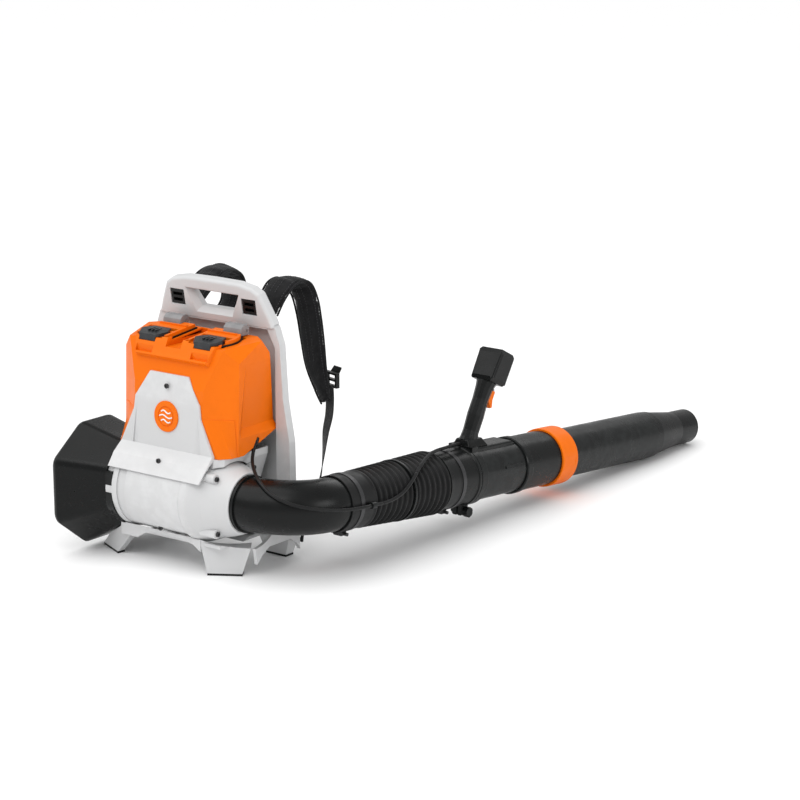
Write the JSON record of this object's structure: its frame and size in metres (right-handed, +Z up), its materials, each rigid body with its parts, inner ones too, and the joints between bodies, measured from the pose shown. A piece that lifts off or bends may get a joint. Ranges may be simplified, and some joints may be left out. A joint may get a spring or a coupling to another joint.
{
  "type": "backpack leaf blower",
  "caption": "Battery backpack leaf blower: frame with straps, hood with hinged lids, side intake, elbow, ribbed hose, telescoping tube and control handle.",
  "frame": {"origin": "on the floor under the pack, in the pack's plane of symmetry, below the fan axis", "axes": "+Z up; +Y from the hood towards the wearer and along the blower tube; +X towards the outlet elbow"},
  "size_m": [0.564, 1.4177, 0.5158],
  "materials": {
    "light_grey_plastic": "fine texture",
    "orange_plastic": "satin",
    "black_plastic": "satin",
    "black_rubber": "matt",
    "mid_grey_plastic": "satin",
    "dark_grey_plastic": "satin",
    "steel": "turned",
    "black_steel": "blackened",
    "copper_laminations": "enamelled wire on steel sheets",
    "rotor_steel": "machined",
    "heat_sink": "cast",
    "battery_plastic": "fine texture",
    "padded_fabric": "woven nylon over foam",
    "webbing": "woven"
  },
  "bodies": {
    "pack": {"back_plate": "light_grey_plastic", "stand_base": "light_grey_plastic", "front_cover": "light_grey_plastic", "fan_housing": "light_grey_plastic", "outlet_funnel": "light_grey_plastic", "battery_hood": "orange_plastic", "emblem_disc": "orange_plastic", "lid_seals": "black_rubber", "foot_pads": "black_rubber", "rubber_buffers": "black_rubber", "cable_rear": "black_rubber", "intake_shroud": "black_plastic", "intake_grille": "black_plastic", "outlet_elbow": "black_plastic", "cable_clip": "black_plastic", "strap_anchors": "black_plastic", "strap_adjusters": "black_plastic", "battery_wells": "black_plastic", "motor_can": "dark_grey_plastic", "battery_packs": "battery_plastic", "lid_hinge_pins": "steel", "rear_hose_clamp": "black_steel", "housing_screws": "black_steel", "motor_stator": "copper_laminations", "controller_box": "heat_sink", "shoulder_strap_right": "padded_fabric", "shoulder_strap_left": "padded_fabric", "back_pad": "padded_fabric", "strap_webbing": "webbing"},
    "fan": {"fan_wheel": "black_plastic", "fan_shaft": "steel", "motor_rotor": "rotor_steel"},
    "hose_middle": {"hose_ring": "black_plastic", "cable_hose_rear": "black_rubber", "hose_rear": "black_rubber"},
    "tube": {"hose_front": "black_rubber", "cable_hose_front": "black_rubber", "front_cuff": "black_plastic", "front_hose_clamp": "black_steel", "handle_tube": "black_plastic", "tube_collar": "black_plastic"},
    "handle": {"handle_base": "black_plastic", "grip_shell": "black_plastic", "control_head": "black_plastic", "handle_pins": "steel", "trigger_spring": "steel", "switch_block": "black_plastic", "cable_handle": "black_rubber"},
    "knob": {"handle_knob": "black_plastic"},
    "trigger": {"trigger": "orange_plastic"},
    "thumb_lever": {"thumb_lever": "orange_plastic"},
    "lock_ring": {"lock_ring": "orange_plastic"},
    "front_tube": {"front_tube": "black_plastic", "nozzle": "black_plastic"},
    "lid_right": {"battery_lid_right": "orange_plastic", "hinge_cover_right": "mid_grey_plastic"},
    "lid_left": {"battery_lid_left": "orange_plastic", "hinge_cover_left": "mid_grey_plastic"},
    "latch_right": {"lid_latch_right": "dark_grey_plastic"},
    "latch_left": {"lid_latch_left": "dark_grey_plastic"}
  },
  "joints": [
    {"name": "fan_spin", "type": "hinge", "parent": "pack", "child": "fan", "pos_m": [0, -0.002, 0.137], "axis": [1, 0, 0], "continuous": true},
    {"name": "hose_yaw", "type": "hinge", "parent": "pack", "child": "hose_middle", "pos_m": [0.26951, 0.22877, 0.11911], "axis": [0, 0, 1], "range_deg": [-20, 20], "deforming": ["hose_rear", "cable_hose_rear"]},
    {"name": "hose_pitch", "type": "hinge", "parent": "hose_middle", "child": "tube", "pos_m": [0.27392, 0.33237, 0.11107], "axis": [0.9991, -0.0426, 0], "range_deg": [-15, 30], "deforming": ["hose_front", "cable_hose_front"]},
    {"name": "handle_slide", "type": "slide", "parent": "tube", "child": "handle", "axis": [0.0424, 0.9961, -0.0772], "range_m": [0, 0.06], "deforming": ["cable_handle"]},
    {"name": "knob_turn", "type": "hinge", "parent": "handle", "child": "knob", "pos_m": [0.28044, 0.4854, 0.0297], "axis": [0.9991, -0.0426, 0], "range_deg": [-180, 180]},
    {"name": "trigger_pull", "type": "hinge", "parent": "handle", "child": "trigger", "pos_m": [0.28423, 0.57415, 0.25349], "axis": [-0.9991, 0.0426, 0], "range_deg": [0, 12], "stiffness_Nm_per_rad": 1, "springref_deg": -11.46, "deforming": ["trigger_spring"]},
    {"name": "thumb_lever_turn", "type": "hinge", "parent": "handle", "child": "thumb_lever", "pos_m": [0.26056, 0.58241, 0.28916], "axis": [-0.0378, -0.8868, 0.4607], "range_deg": [0, 20]},
    {"name": "lock_ring_twist", "type": "hinge", "parent": "tube", "child": "lock_ring", "pos_m": [0.29277, 0.77464, 0.07678], "axis": [0.0424, 0.9961, -0.0772], "range_deg": [0, 30]},
    {"name": "tube_slide", "type": "slide", "parent": "tube", "child": "front_tube", "axis": [0.0424, 0.9961, -0.0772], "range_m": [-0.1, 0]},
    {"name": "lid_right_hinge", "type": "hinge", "parent": "pack", "child": "lid_right", "pos_m": [0.073, 0.08, 0.431], "axis": [-1, 0, 0], "range_deg": [0, 80]},
    {"name": "lid_left_hinge", "type": "hinge", "parent": "pack", "child": "lid_left", "pos_m": [-0.073, 0.08, 0.431], "axis": [-1, 0, 0], "range_deg": [0, 80]},
    {"name": "latch_right_turn", "type": "hinge", "parent": "lid_right", "child": "latch_right", "pos_m": [0.066, 0.024, 0.421], "axis": [-1, 0, 0], "range_deg": [0, 20], "stiffness_Nm_per_rad": 0.3, "springref_deg": -5.73},
    {"name": "latch_left_turn", "type": "hinge", "parent": "lid_left", "child": "latch_left", "pos_m": [-0.066, 0.024, 0.421], "axis": [-1, 0, 0], "range_deg": [0, 20], "stiffness_Nm_per_rad": 0.3, "springref_deg": -5.73}
  ]
}
